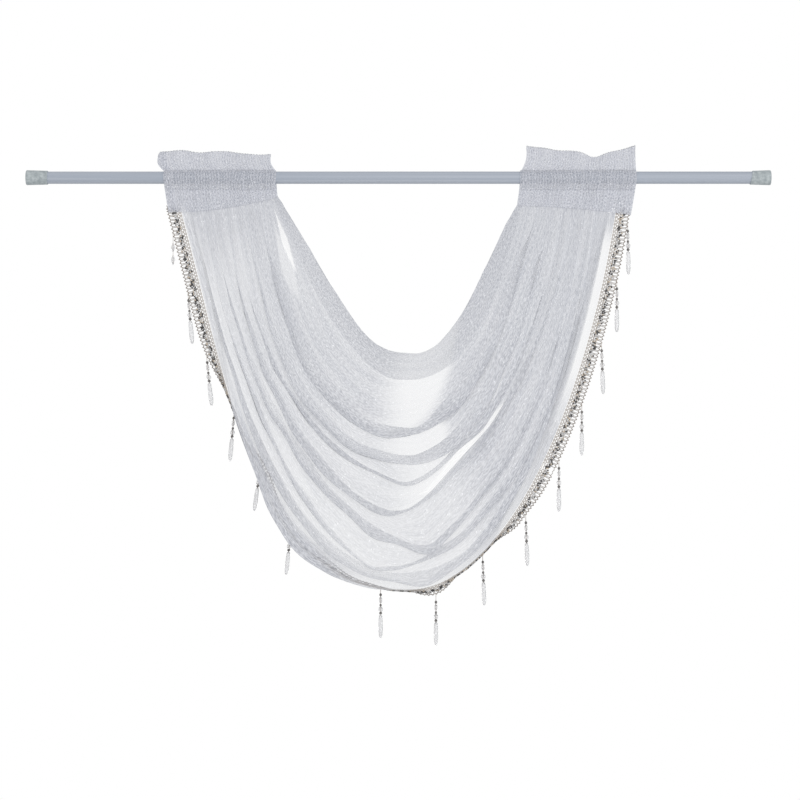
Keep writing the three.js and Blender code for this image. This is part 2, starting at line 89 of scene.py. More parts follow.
# The swag's hanging lines, from the turned-back neck to the hem. They follow the part's source, apart from
# fold 7's right arm and the edge.
LINE_COLUMNS = ["name", "left_seam", "left_fall", "left_fall_drop", "left_sweep", "left_sweep_drop",
                "middle", "middle_drop", "right_sweep", "right_sweep_drop", "right_fall",
                "right_fall_drop", "right_seam", "fall_depth", "middle_depth"]
LINES = [dict(zip(LINE_COLUMNS, row)) for row in [
    ("neck hem", -170, -123, 149, -61, 264, 0, 264, 80, 264, 120, 172, 151, 7, -12),
    ("neck", -165, -88, 143, -58, 231, 0, 228, 66, 240, 95, 122, 146, -3, -26),
    ("fold 1", -185, -165, 262, -75, 352, 0, 332, 82, 338, 138, 205, 169, -10, -44),
    ("fold 2", -206, -175, 300, -95, 362, 0, 372, 62, 377, 135, 318, 190, -12, -50),
    ("fold 3", -219, -192, 322, -76, 372, 0, 402, 50, 376, 156, 336, 203, -8, -47),
    ("fold 4", -232, -205, 307, -85, 446, 0, 438, 55, 402, 178, 312, 216, -12, -47),
    ("fold 5", -249, -202, 372, -62, 474, 30, 489, 62, 462, 200, 350, 232, -11, -41),
    ("fold 6", -262, -208, 380, -75, 500, -35, 512, 75, 510, 206, 388, 246, -11, -33),
    ("fold 7", -273, -214, 384, -122, 518, 0, 531, 125, 530, 212, 302, 258, -9, -23),
    ("edge", -290, -221, 302, -196, 537, 0, 536, 140, 539, 240, 269, 274, 3, 2),
]]

# The share of each half of a line that is rounded at its middle, the steps of a half and of the rounding,
# and how roundly the cloth turns over each line.
MIDDLE_REACH = 0.08
CURVE_STEPS = 200
TURN_STEPS = 24
FOLD_ROUNDING = 0.14

# How far each fold's hidden tuck climbs behind its lip, and how deep it lies: shallower than in the part's
# source. The tucks of the low folds have a gather of their own.
TUCK_COLUMNS = ["left", "middle", "right", "fall_deep", "middle_deep"]
TUCKS = {name: dict(zip(TUCK_COLUMNS, row)) for name, *row in [
    ("fold 1", 26, 6, 26, 4, 7),
    ("fold 2", 14, 13, 18, 4, 6),
    ("fold 3", 7, 4, 8, 3, 5),
    ("fold 4", 13, 6, 10, 4, 6),
    ("fold 5", 13, 10, 8, 4, 6),
    ("fold 6", 8, 5, 10, 3, 5),
    ("fold 7", 11, 18, 9, 3, 6),
]}
LOW_FOLDS = ("fold 6", "fold 7")

# How closely the voile is gathered along each line, from 0 for its thinnest to 1 for packed pleats: on the
# left arm, left and right of the middle, and on the right arm. Lines that show are packed at both headings,
# and the layers hidden behind a lip have the tuck's value. The edge and the rim have stops of their own.
GATHER_STOPS = [-1, -0.8, -0.36, -0.15, -0.03, 0.06, 0.16, 0.3, 1]
GATHERS = {name: row for name, *row in [
    ("neck hem", 0.34, 0.45, 0.45, 0.36),
    ("neck", 0.6, 0.62, 0.58, 0.68),
    ("fold 1", 0.84, 0.82, 0.76, 0.88),
    ("fold 2", 0.8, 0.6, 0.6, 0.88),
    ("fold 3", 0.74, 0.54, 0.24, 0.88),
    ("fold 4", 0.66, 0.52, 0.2, 0.88),
    ("fold 5", 0.64, 0.48, 0.54, 0.88),
    ("fold 6", 0.6, 0.42, 0.42, 0.86),
    ("fold 7", 0.48, 0.34, 0.4, 0.86),
    ("tuck", 0.05, 0.14, 0.36, 0.05),
    ("low tuck", 0.05, 0.08, 0.12, 0.05),
]}
HEM_STOPS = [-1, -0.66, -0.55, -0.25, -0.1, 0.1, 0.3, 0.56, 0.7, 0.94, 0.985]
HEM_GATHERS = {
    "edge": [0.85, 0.6, 0.92, 0.92, 0.35, 0.25, 0.45, 0.85, 0.15, 0.15, 0.95],
    "rim": [0.3, 0.35, 0.92, 0.92, 0.4, 0.2, 0.45, 0.85, 0.15, 0.15, 0.95],
}

# How the gather passes from one line to the next: as powers of the share of the way (fades and rise), or
# over a part of it (start and reaches).
NECK_FADE = 0.35
RIM_FADES = (5, 0.2)
EDGE_RISE = 4
HIDDEN_FADE = 0.25
STRIP_START = 0.4
STRIP_REACH = 0.14
EMERGE_REACH = 0.12
COVER_REACH = 0.35

# Painted highlight on the wall behind each lip, lightening the shade in its crease: along the arms only.
WALL_STOPS = [-1, -0.84, -0.6, -0.35, 0.3, 0.5, 0.84, 1]
WALL_PAINTED_HIGHLIGHTS = [0, 0.9, 0.9, 0, 0, 0.9, 0.9, 0]

# Pointed slits where one open layer shows: the line above which each lies, its share of the way there from
# the line before, its half width as a share, the places it runs between, how much it opens, and whether it
# starts blunt, at its widest.
SLIT_COLUMNS = ["line", "share", "half", "start", "end", "opens", "blunt"]
SLITS = [dict(zip(SLIT_COLUMNS, row)) for row in [
    ("fold 1", 0.47, 0.07, -0.99, -0.64, 0.7, False),
    ("fold 1", 0.58, 0.14, -0.92, -0.54, 0.25, False),
    ("fold 5", 0.62, 0.35, -0.6, -0.34, 0.2, False),
    ("fold 6", 0.62, 0.35, -0.5, -0.24, 0.14, False),
    ("fold 4", 0.6, 0.55, 0.06, 0.46, 0.7, False),
    ("fold 1", 0.1, 0.95, 0.05, 0.44, 0.55, True),
    ("fold 2", 0.5, 1.2, 0.05, 0.21, 0.4, True),
]]
SLIT_SHARPNESS = 4
BLUNT_FADE = 0.17

# How far the fold lines wander up and down, over bumps of this size along them.
LINE_WANDER = 2.0
WANDER_SIZE = 38
WANDER_FADE = 0.3

# The hem's roll in degrees, from facing the room (0) to facing down and back (90 and more), and how far the
# left hem stands out of its curve, down and to the left.
HEM_ROLL_PLACES = [-1, -0.85, -0.62, -0.48, -0.25, -0.1, 0, 0.09, 0.18, 0.29, 0.38, 0.5, 1]
HEM_ROLL_DEGREES = [0, 0, 95, 128, 128, 100, 84, 46, 82, 84, 40, 0, 0]
BUMP_PLACES = [-1, -0.62, -0.5, -0.41, -0.31, -0.2, 1]
BUMPS = [0, 0, -5, 0.5, 3.5, 0, 0]
BUMP_WAY = (-1, 0, -1)

# The step to both sides over which the way along the hem is measured, and the share of the hem, at each
# upper end, over which the braid turns level.
PLACE_STEP = 0.004
LEVEL_REACH = 0.1

# The swag's mesh and its fine crinkle. Uneven bumps are given as a seed and a size.
SWAG_ROWS = 181
SWAG_STEP = 1.35
SPAN_STEPS = 5
CRINKLE_WAVES = 78
CRINKLE_DEPTH = 0.3
CRINKLE_DRIFT = 2.4
CRINKLE_FADE = 0.05
DRIFT_BUMPS = (3, 30)
PATCH_BUMPS = (5, 45)
PATCH_LEVEL = 0.6
PATCH_SWING = 0.4
WRINKLE_BUMPS = (7, 34)
WRINKLE_STRETCH = 0.5
WRINKLE_DEPTH = 0.9
UNEVEN_WAVES = 14
UNEVEN_LENGTHS = (1.4, 3.2)

# Headings: at each level of a half section, from the lower seam to the ruffle's top, how far the cloth
# stands off the middle, how close its weave is, and how much painted highlight its ribs carry: least over
# the rod's pocket, as painted shade.
HEADING_COLUMNS = 260
HEADING_STEP = 1.1
HEADING_SPAN_STEPS = 2
HEADING_ROUNDING = 0.5
POCKET_SEAM = -15.5
RUFFLE_SEAM = 9.6
SEAM_EDGE = 1.5
BAND_STANDS = [1.2, 1.8, 1.1, 1.0]
LOOP_RADIUS = 9.1
LOOP_DEGREES = [-30, 0, 30, 60]
RUFFLE_STANDS = [0.9, 1.0, 1.6, 0.5]
HEADING_COVER = [1, 1, 1, 0.9, 0.75, 0.7, 0.7, 0.75, 0.6, 0.6, 0.6, 0.6]
HEADING_PAINTED_LIGHT = [0.6, 0.6, 0.8, 0.3, 0.3, 0.5, 0.55, 0.55, 0.45, 0.9, 0.9, 0.9]

# The weave added in a side hem, and how near the outer side the lower seam is thinner, so that the braid's
# end shows. The side edges step from the rod's width to the ruffle's between two heights.
SIDE_HEM_COVER = 0.4
BRAID_SHOWS = 24
BRAID_COVER = 0.35
EDGE_STEP = (8, 16)

# The headings' fine ribs, their crepe, the ruffle's waves and the rows of stitches, as (height, stand).
RIB_PITCH = 3.7
RIB_DEPTH = 0.35
RIB_DRIFT = 1.8
RIB_COVER = 0.25
RIB_BUMPS = (11, 14)
CREPE_DEPTH = 0.4
CREPE_BUMPS = (13, 16)
RUFFLE_DEPTH = 3.2
RUFFLE_WAVES = 3.5
RUFFLE_EASE = 25
STITCH_ROWS = [(RUFFLE_SEAM, 1.5), (POCKET_SEAM, 1.6)]
STITCH_PITCH = 3.4
STITCH_LENGTH = 2.5
STITCH_RADIUS = 0.22
STITCH_DIP = 0.25

# Beaded braid, measured across from the cloth's edge, and the places of its two yarns in a list of them.
PALE = 0
BROWN_AND_PAINTED_SHADE = 1
BRAID_STEPS = 6001
BRAID_PITCH = 4.7
BRAID_SAMPLES = 8
BRAID_TUCK = 10
TUCK_BACK = 4.5
TUCK_STEPS = 12
THREAD_SIDES = 5
THREAD_RADIUS = 0.42
RAIL_RADIUS = 0.55
RAILS = [0.7, 3.5, 6.3]
RAIL_SWING = 0.35
LOOP_ROWS = [
    {"from": 0.2, "to": 3.9, "phase": 0.0},
    {"from": 3.1, "to": 6.9, "phase": 0.5},
    {"from": 10.2, "to": 17.8, "phase": 0.0},
]
LOOP_WIDTH = 3.3
LOOP_STEPS = 13
LOOP_SQUARE = 0.4
EDGE_CORD = 16.9
EDGE_SWING = 0.45
PICOT_RADIUS = 0.75
PICOT_ACROSS = 18.2
TRIMS = [
    {"name": "left", "node": "trim_left", "from": LEFT_START, "to": LEFT_JOIN},
    {"name": "lower_left", "node": "trim_lower_left", "from": LEFT_JOIN, "to": 0},
    {"name": "lower_right", "node": "trim_lower_right", "from": 0, "to": RIGHT_JOIN},
    {"name": "right", "node": "trim_right", "from": RIGHT_JOIN, "to": RIGHT_START},
]

# The winding band of beads on the braid, and the share of each finish in it.
BEAD_LINE = 9.0
BEAD_ROWS = [-1.5, 0.2, 1.7]
BEAD_SWING = 1.5
BEAD_PERIOD = 11.5
BEAD_STEP = 2.4
BEAD_RADIUS = 1.4
BEAD_LIFT = 0.9
BEAD_MIX = {"bead_dark": 0.42, "bead_silver": 0.36, "bead_champagne": 0.22}
BEAD_SIZES = (0.7, 1.12)
BEAD_SEED = 17
BEAD_COUNT = 4000
BEAD_SIDE_STEPS = 2

# Pendants: how far along the braid's outer edge each one hangs from an upper end, its lean in degrees to
# the right, and how many of each run's first pendants are short ones.
PENDANT_ROOT = 1.5
PENDANT_SIDES = 10
PENDANT_TURN = 0.7
DROP_FLATNESS = 0.8
PENDANT_RUNS = [
    {
        "from_left": True,
        "distances": [27, 107, 192, 274, 348.5, 441],
        "leans": [0, 5, 6, -5, -8, -6],
        "short": 1,
    },
    {
        "from_left": False,
        "distances": [10.5, 87, 170, 254, 333, 418, 496, 577.5, 652],
        "leans": [1, 0, 2, 0, 0, 2, 2, 0, 0],
        "short": 0,
    },
]

# The shapes threaded on a pendant, from its root down: the kind of each, and its (drop, radius) rows.
LONG_PENDANT = [
    ("thread", [(-1, 0.45), (38, 0.45)]),
    ("dark", [(8.6, 0.5), (9.8, 1.7), (11.6, 1.7), (13, 0.5)]),
    ("clear", [(13.4, 0.6), (15, 2.0), (19.8, 2.0), (21.4, 0.6)]),
    ("dark", [(22.4, 0.5), (23.4, 1.5), (25.2, 1.5), (26.2, 0.5)]),
    ("clear", [(26.4, 1.0), (27.8, 2.6), (29.6, 3.0), (31.4, 2.6), (32.8, 1.0)]),
    ("dark", [(32.8, 0.6), (33.8, 1.9), (35.6, 1.9), (36.6, 0.6)]),
    ("drop", [(36.8, 0.7), (38.6, 2.2), (42, 2.5), (50, 2.8), (58, 2.8), (63, 2.3), (66, 1.3), (67, 0.4)]),
]
SHORT_PENDANT = [
    ("thread", [(-1, 0.35), (40, 0.35)]),
    ("clear", [(13, 0.5), (19, 2.6), (25, 0.5)]),
    ("clear", [(29, 0.5), (35, 2.6), (42, 0.4)]),
]

# Looks: colours are screen values from 0 to 255, noise is given as its scales by the metre, and a bump as
# its strength and distance. The middle part of a noise's values is spread over its whole effect.
SHARES = (0, 1)
WIDE_PART = (0.3, 0.7)
MIDDLE_PART = (0.35, 0.65)
NOISE_DETAIL = 2.0
NO_DETAIL = 0.0

# Voile: its noise runs along the folds, then across them, and its cover is that of thin and packed cloth.
VOILES = {
    "swag_voile": {"dark": (203, 205, 212), "pale": (243, 244, 248), "cover": (0.1, 0.97),
                   "creases": (170, 760, 1)},
    "heading_voile": {"dark": (194, 197, 207), "pale": (246, 247, 253), "cover": (0.4, 0.8),
                      "creases": (420, 950, 1)},
}
VOILE_ROUGHNESS = 0.75
VOILE_SOCKETS = {"Sheen Weight": 0.5, "Sheen Roughness": 0.4, "Specular IOR Level": 0.2,
                 "Emission Color": WHITE}
VOILE_BUMP = (0.5, 0.0005)
RELIEF_PART = (0.5, 0.9)
CREASE_COVER = 0.06
GRAIN = (800, 1500, 1)
GRAIN_SHARE = 0.4
PLEATS = (4, 150, 1)
PLEAT_PART = (0.46, 0.54)
PLEAT_COVER = 0.08
# Painted glints: small points of the weave that glow through the emission, standing for light caught by the
# yarn.
GLINT_SCALE = 420
GLINT_REACH = (0.1, 0.32)
GLINT_CHOICE = (0.7, 0.8)
GLINT_GLOW = 0.4

# Trimmings and rod.
# The brown yarn is partly the braid's own brown and partly painted shade, darkened for the shade among its
# thin loops and cord.
YARNS = {
    "pale_yarn": {"dark": (196, 186, 176), "pale": (250, 244, 237)},
    "brown_yarn_and_painted_shade": {"dark": (128, 117, 106), "pale": (186, 174, 162)},
}
YARN_ROUGHNESS = 0.7
YARN_SHEEN = 0.25
YARN_FIBRE = (1600, 1600, 1600)
YARN_BUMP = (0.4, 0.0003)
BEAD_FINISHES = {
    "bead_dark": {"dark": (52, 50, 50), "pale": (96, 92, 90), "roughness": 0.25, "metallic": 0.3},
    "bead_grey": {"dark": (92, 89, 87), "pale": (158, 154, 150), "roughness": 0.25, "metallic": 0.3},
    "bead_silver": {"dark": (170, 168, 166), "pale": (232, 230, 228), "roughness": 0.22, "metallic": 0.6},
    "bead_champagne": {"dark": (186, 170, 150), "pale": (230, 218, 202), "roughness": 0.25, "metallic": 0.4},
}
BEAD_COAT = 0.4
BEAD_CLOUD = (700, 700, 700)
DROP_COLOUR = (244, 244, 245)
DROP_SOCKETS = {"Transmission Weight": 0.72, "IOR": 1.42, "Coat Weight": 0.2}
DROP_ROUGHNESS = 0.12
DROP_ROUGHNESSES = (0.06, 0.22)
DROP_CLOUD = (260, 260, 160)
ROD_COLOUR = (190, 197, 208)
ROD_TONES = {"dark": (184, 192, 204), "pale": (202, 208, 218)}
ROD_SOCKETS = {"Specular IOR Level": 0.3}
ROD_ROUGHNESS = 0.5
ROD_ROUGHNESSES = (0.48, 0.62)
ROD_BANDS = (1.5, 260, 260)
ROD_SPECKS = (900, 900, 900)
ROD_BUMP = (0.08, 0.0002)
CAP_COLOUR = (190, 200, 200)
CAP_TONES = {"dark": (172, 181, 184), "pale": (206, 214, 215)}
CAP_ROUGHNESS = 0.6
CAP_MOTTLE = (220, 220, 220)
CAP_DETAIL = 4.0
CAP_GRAIN = (1800, 1800, 1800)
CAP_BUMP = (0.25, 0.0003)

# Camera, in metres: a long lens straight on, at the photo's scale of 1.3 mm for each pixel on the rod's
# plane.
VIEW_WIDTH = 1.04
VIEW_CENTRE = (0.002, -0.289)
LENS = 130
SENSOR = 36

# Light, in metres: even surroundings, a wide key from the upper left and a fill from the right. The pale
# floor's sizes are in millimetres.
WORLD_LIGHT = 0.54
WORLD_TINT = (0.97, 0.98, 1, 1)
SEEN_LIGHT = 1.0
LIT_POINT = (0, 0, -0.3)
LIGHTS = {
    "key": {"place": (-0.9, -2.9, 0.9), "size": 1.8, "power": 16},
    "fill": {"place": (1.6, -2.4, -0.2), "size": 1.6, "power": 14},
}
FLOOR_REACH = 1500
FLOOR_HEIGHT = -1200
FLOOR_COLOUR = (238, 238, 238)
FLOOR_ROUGHNESS = 0.9


def linear(screen):
    """A colour given by its 0 to 255 screen values, brought by the standard screen curve to a shader's."""
    shares = np.array(screen) / 255
    return (*np.where(shares <= 0.04045, shares / 12.92, ((shares + 0.055) / 1.055) ** 2.4), 1)


def unit(vectors):
    """Vectors at length 1."""
    return vectors / np.maximum(np.linalg.norm(vectors, axis=-1, keepdims=True), LEAST_LENGTH)


def smoothstep(share):
    """A share from 0 to 1, eased at both ends."""
    share = np.clip(share, 0, 1)
    return share * share * (3 - 2 * share)


def end_fade(places, reach):
    """A share that rises from 0 at both headings to 1 at some reach from them."""
    return smoothstep((1 - np.abs(places)) / reach)


def eased(places, stops, values):
    """Values between some stops, level at each stop."""
    stops, values = np.array(stops), np.array(values)
    after = np.clip(np.searchsorted(stops, places), 1, len(stops) - 1)
    share = smoothstep((places - stops[after - 1]) / (stops[after] - stops[after - 1]))
    return values[after - 1] + share * (values[after] - values[after - 1])


def uneven(u, v, seed, size):
    """Smooth uneven values around 0, mostly from -1 to 1, with bumps of about one size."""
    pick = np.random.default_rng(seed)
    total = np.zeros(np.broadcast(u, v).shape)
    for _ in range(UNEVEN_WAVES):
        turn = pick.uniform(0, TURN)
        length = size * pick.uniform(*UNEVEN_LENGTHS)
        phase = pick.uniform(0, TURN)
        total = total + np.sin(TURN * (u * math.cos(turn) + v * math.sin(turn)) / length + phase)
    return total / math.sqrt(UNEVEN_WAVES)


def travelled(points, axis):
    """How far each point lies along one way of its grid or line."""
    steps = np.linalg.norm(np.diff(points, axis=axis), axis=-1)
    start = np.zeros_like(np.take(steps, [0], axis=axis))
    return np.concatenate([start, np.cumsum(steps, axis=axis)], axis=axis)


def points_at(distances, known, points):
    """Points at some distances along a line whose points lie at known ones."""
    return np.stack([np.interp(distances, known, points[:, axis]) for axis in range(3)], axis=-1)


def heading_width(heading, level):
    """A heading's width at its ruffle's top, the rod or its lower seam."""
    return heading["right"][level] - heading["left"][level]


def seam_drop_at(heading, share):
    """How far a heading's lower seam lies below the rod's axis."""
    drop = heading["seam_drop"]
    bend = 4 * share * (1 - share)
    straight = (1 - share) * drop["left"] + share * drop["right"]
    return straight + bend * (drop["middle"] - (drop["left"] + drop["right"]) / 2)


def hanging_point(across, depth, drop):
    """A point of the swag, measured across from its middle and down from the rod's axis."""
    return np.array([MIDDLE_X + across, depth, -drop])


def seam_point(heading, across, depth):
    """The end of a hanging line, just inside its heading's lower seam."""
    share = (across - heading["left"]["seam"]) / heading_width(heading, "seam")
    return hanging_point(across, depth, seam_drop_at(heading, share) + SEAM_GAP)


def hanging_line(row, seam_depth):
    """The corner points of a hanging line's left and right curves, which meet at its middle."""
    halves = {}
    middle = hanging_point(row["middle"], row["middle_depth"], row["middle_drop"])
    for heading in HEADINGS:
        side = heading["name"]
        start = seam_point(heading, row[f"{side}_seam"], seam_depth)
        fall = hanging_point(row[f"{side}_fall"], row["fall_depth"], row[f"{side}_fall_drop"])
        sweep = hanging_point(row[f"{side}_sweep"], row["middle_depth"], row[f"{side}_sweep_drop"])
        halves[side] = (start, fall, sweep, middle)
    return halves


def bezier(corners, shares):
    """Points of a cubic curve."""
    gone = shares[:, None]
    left = 1 - gone
    start, first, second, end = corners
    return left**3 * start + 3 * left**2 * gone * first + 3 * left * gone**2 * second + gone**3 * end


def walked_line(line, places):
    """Points of a hanging line with its middle rounded, at places by its length."""
    shares = np.linspace(0, 1 - MIDDLE_REACH, CURVE_STEPS)
    left = bezier(line["left"], shares)
    right = bezier(line["right"], shares)[::-1]
    turn = np.linspace(0, 1, TURN_STEPS)[1:-1, None]
    middle = line["left"][-1]
    rounded = (1 - turn) ** 2 * left[-1] + 2 * turn * (1 - turn) * middle + turn**2 * right[0]
    points = np.concatenate([left, rounded, right])
    walked = travelled(points, 0)
    return points_at((places + 1) / 2 * walked[-1], walked, points)


def tuck_row(lip, tuck, following):
    """The row of a fold's tuck: its lip's row, drawn in and up behind the lip."""
    hem = HEM_WIDTH if following["name"] == "edge" else 0
    row = dict(lip)
    for side, inward in (("left", 1), ("right", -1)):
        slope = math.sqrt(0.5) * tuck[side]
        row[f"{side}_seam"] = (lip[f"{side}_seam"] + following[f"{side}_seam"] + inward * hem) / 2
        row[f"{side}_fall"] += inward * tuck[side]
        row[f"{side}_fall_drop"] -= tuck[side]
        row[f"{side}_sweep"] += inward * slope
        row[f"{side}_sweep_drop"] -= slope
    row["middle_drop"] -= tuck["middle"]
    row["fall_depth"] += tuck["fall_deep"]
    row["middle_depth"] += tuck["middle_deep"]
    return row


EDGE_LINE = hanging_line(LINES[-1], 0)


def edge_points(places):
    """The cloth's edge, at places by the shares of its two curves, with the bumps of its left side."""
    left = bezier(EDGE_LINE["left"], np.clip(1 + places, 0, 1))
    right = bezier(EDGE_LINE["right"], np.clip(1 - places, 0, 1))
    bumps = eased(places, BUMP_PLACES, BUMPS)[:, None]
    return np.where((places < 0)[:, None], left, right) + bumps * unit(np.array(BUMP_WAY))


def hem_frame(places):
    """The cloth's edge at some places, the way along it, and the way out across the braid."""
    before = edge_points(np.maximum(places - PLACE_STEP, -1))
    after = edge_points(np.minimum(places + PLACE_STEP, 1))
    along = unit(after - before)
    slope = end_fade(places, LEVEL_REACH)
    outward = unit(np.stack([along[:, 2], np.zeros(len(places)), -along[:, 0] * slope], axis=1))
    turn = np.radians(eased(places, HEM_ROLL_PLACES, HEM_ROLL_DEGREES))[:, None]
    across = outward * np.cos(turn) + np.array([0, 1, 0]) * np.sin(turn)
    return edge_points(places), along, across


def still_lines(places):
    """All lines of the swag in order, as (name, points), before they wander."""
    found = []
    for row, following in zip(LINES, LINES[1:]):
        name = row["name"]
        depth = NECK_HEM_DEPTH if name == "neck hem" else 0
        found.append((name, walked_line(hanging_line(row, depth), places)))
        if name in TUCKS:
            behind = hanging_line(tuck_row(row, TUCKS[name], following), 0)
            title = "low tuck" if name in LOW_FOLDS else "tuck"
            found.append((title, walked_line(behind, places)))
    rim, _, across = hem_frame(places)
    return [*found, ("edge", rim - HEM_WIDTH * across), ("rim", rim)]


def sheet_lines(places):
    """All lines of the swag in order, as (name, points, gather) along the places."""
    found = still_lines(places)
    lines = []
    for index, (name, points) in enumerate(found):
        wander = LINE_WANDER if name.endswith("tuck") or name.startswith("fold") else 0
        gather = gather_along(name, places)
        if name.endswith("tuck"):
            hidden = hidden_share(found[index - 1][1], points, found[index + 1][1])
            covered = smoothstep(hidden / COVER_REACH)
            gather = covered * gather + (1 - covered) * lines[-1][2]
        lines.append((name, wandered(points, places, wander, index), gather))
    return lines


def wandered(points, places, reach, seed):
    """A line moved a little up and down along its way, but not at its sewn ends."""
    walked = travelled(points, 0)
    moved = points.copy()
    moved[:, 2] += reach * end_fade(places, WANDER_FADE) * uneven(walked, 0, seed, WANDER_SIZE)
    return moved


def gather_along(name, places):
    """A line's gather, from packed at both headings, through its arms, to its middle."""
    if name in HEM_GATHERS:
        return np.interp(places, HEM_STOPS, HEM_GATHERS[name])
    left, left_middle, right_middle, right = GATHERS[name]
    start, end = (left, right) if name.endswith("tuck") else (1, 1)
    values = [start, left, left, left_middle, left_middle, right_middle, right_middle, right, end]
    return np.interp(places, GATHER_STOPS, values)


def hidden_share(lip, tuck, following):
    """The share of the way from a tuck to the next lip that stays hidden behind the tuck's own lip."""
    flat = np.array([1, 0, 1])
    way = (following - tuck) * flat
    square = np.maximum((way * way).sum(axis=1), LEAST_SQUARE)
    return np.clip(((lip - tuck) * flat * way).sum(axis=1) / square, 0, 1 - EMERGE_REACH)


def opened_slits(name, share, places):
    """How much the slits above one line thin the voile, at a share of the way to that line."""
    opened = np.zeros(len(places))
    for slit in SLITS:
        if slit["line"] == name:
            widest = slit["start"] if slit["blunt"] else (slit["start"] + slit["end"]) / 2
            past = places - widest
            side = smoothstep(1 + past / BLUNT_FADE) if slit["blunt"] else 1
            along = np.maximum(past, 0) if slit["blunt"] else np.abs(past)
            off = along / (slit["end"] - widest) + abs(share - slit["share"]) / slit["half"]
            opened += side * slit["opens"] * smoothstep(SLIT_SHARPNESS * (1 - off))
    return opened


def span_shares(steps):
    """Every mesh step across the lines, as its span's number and its share of the way over that span."""
    return [(span, step / count) for span, count in enumerate(steps) for step in range(1, count + 1)]


def sheet_gathers(found, steps, places):
    """The swag's gather at every point of its mesh."""
    columns = [found[0][2]]
    for span, share in span_shares(steps):
        name, line, gather = found[span]
        next_name, next_line, target = found[span + 1]
        _, last_line, last_gather = found[span - 1]
        if next_name == "edge":
            strip = smoothstep((share - STRIP_START) / STRIP_REACH)
            rise = np.where(places < 0, strip, share**EDGE_RISE)
            target = last_gather + (target - last_gather) * rise
        if next_name.endswith("tuck"):
            reached = share**HIDDEN_FADE
        elif name.endswith("tuck"):
            hidden = hidden_share(last_line, line, next_line)
            reached = smoothstep((share - hidden) / EMERGE_REACH + 1)
        elif next_name == "rim":
            reached = share ** np.where(places < 0, *RIM_FADES)
        else:
            reached = share ** (NECK_FADE if name == "neck" else 1)
        value = (1 - reached) * gather + reached * target
        columns.append(value - opened_slits(next_name, share, places))
    return np.stack(columns)


def sheet_painted_highlights(found, steps, places):
    """How much painted highlight each point of the swag's mesh carries: fully on the lips, partly on the
    walls behind them.
    """
    dull = np.zeros(len(places))
    bright = np.ones(len(places))
    wall = eased(places, WALL_STOPS, WALL_PAINTED_HIGHLIGHTS)
    columns = [dull]
    for (name, _, _), count in zip(found[1:], steps):
        span = wall if name.endswith("tuck") else dull
        columns += [span] * (count - 1) + [bright if name.startswith("fold") else span]
    return np.stack(columns)


def smooth_sections(lines, steps, rounding):
    """Smooth curves through lines of points: an array of columns across by places along."""
    columns = [lines[0]]
    for span, share in span_shares(steps):
        first, second = lines[span], lines[span + 1]
        before = lines[span - 1] if span > 0 else 2 * first - second
        after = lines[span + 2] if span + 2 < len(lines) else 2 * second - first
        leave = rounding * (second - before)
        arrive = rounding * (after - first)
        bend = 3 * (second - first) - 2 * leave - arrive
        twist = 2 * (first - second) + leave + arrive
        columns.append(first + leave * share + bend * share**2 + twist * share**3)
    return np.stack(columns)


def spread_between(values, steps):
    """Values of lines, spread evenly over the steps between them."""
    between = [(1 - share) * values[span] + share * values[span + 1] for span, share in span_shares(steps)]
    return np.stack([values[0], *between])


def span_steps(lines, size, fewest):
    """How many mesh steps each span between two lines takes."""
    lengths = [np.linalg.norm(second - first, axis=1).mean() for first, second in zip(lines, lines[1:])]
    return [max(fewest, round(length / size)) for length in lengths]


def grid_normals(points):
    """The normals of a grid of points."""
    along = unit(np.gradient(points, axis=1))
    across = unit(np.gradient(points, axis=0))
    return unit(np.cross(across, along))


def grid_faces(index):
    """Four-sided faces between the rows and columns of a grid of point numbers."""
    corners = [index[:-1, :-1], index[1:, :-1], index[1:, 1:], index[:-1, 1:]]
    return np.stack(corners, axis=-1).reshape(-1, 4)


def new_mesh(name, points, faces, materials):
    """A smooth mesh from points in millimetres."""
    mesh = bpy.data.meshes.new(name)
    mesh.from_pydata((points.reshape(-1, 3) * MM).tolist(), [], faces.tolist())
    for finish in materials:
        mesh.materials.append(finish)
    mesh.shade_smooth()
    return mesh


def grid_piece(name, points, uv, values, finish):
    """A smooth single sheet from a grid of points, with its cloth directions as UVs."""
    columns, rows, _ = points.shape
    faces = grid_faces(np.arange(columns * rows).reshape(columns, rows))
    mesh = new_mesh(name, points, faces, [finish])
    corner = np.zeros(len(mesh.loops), np.int32)
    mesh.loops.foreach_get("vertex_index", corner)
    layer = mesh.uv_layers.new(name="cloth")
    layer.data.foreach_set("uv", (uv.reshape(-1, 2)[corner] * MM).astype(np.float32).ravel())
    for title, amounts in values.items():
        stored = mesh.attributes.new(title, "FLOAT", "POINT")
        stored.data.foreach_set("value", np.clip(amounts, 0, 1).astype(np.float32).ravel())
    return place_piece(name, mesh)


def new_object(name, data):
    """A new object in the scene."""
    made = bpy.data.objects.new(name, data)
    bpy.context.scene.collection.objects.link(made)
    return made


def place_piece(name, mesh):
    """A new object that rides on the part's one body."""
    piece = new_object(name, mesh)
    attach(piece, "root")
    return piece


class Parts:
    """Collects many small shapes into one mesh with several materials."""

    def __init__(self):
        self.points = []
        self.faces = []
        self.finishes = []
        self.count = 0

    def add(self, points, faces, finish):
        """Adds points in millimetres and faces that index them, all with one finish."""
        self.faces.append(faces + self.count)
        self.finishes.extend([finish] * len(faces))
        self.points.append(points.reshape(-1, 3))
        self.count += points.size // 3

    def piece(self, name, materials):
        """The collected shapes as one smooth piece."""
        mesh = new_mesh(name, np.concatenate(self.points), np.concatenate(self.faces), materials)
        mesh.polygons.foreach_set("material_index", np.array(self.finishes, np.int32))
        return place_piece(name, mesh)


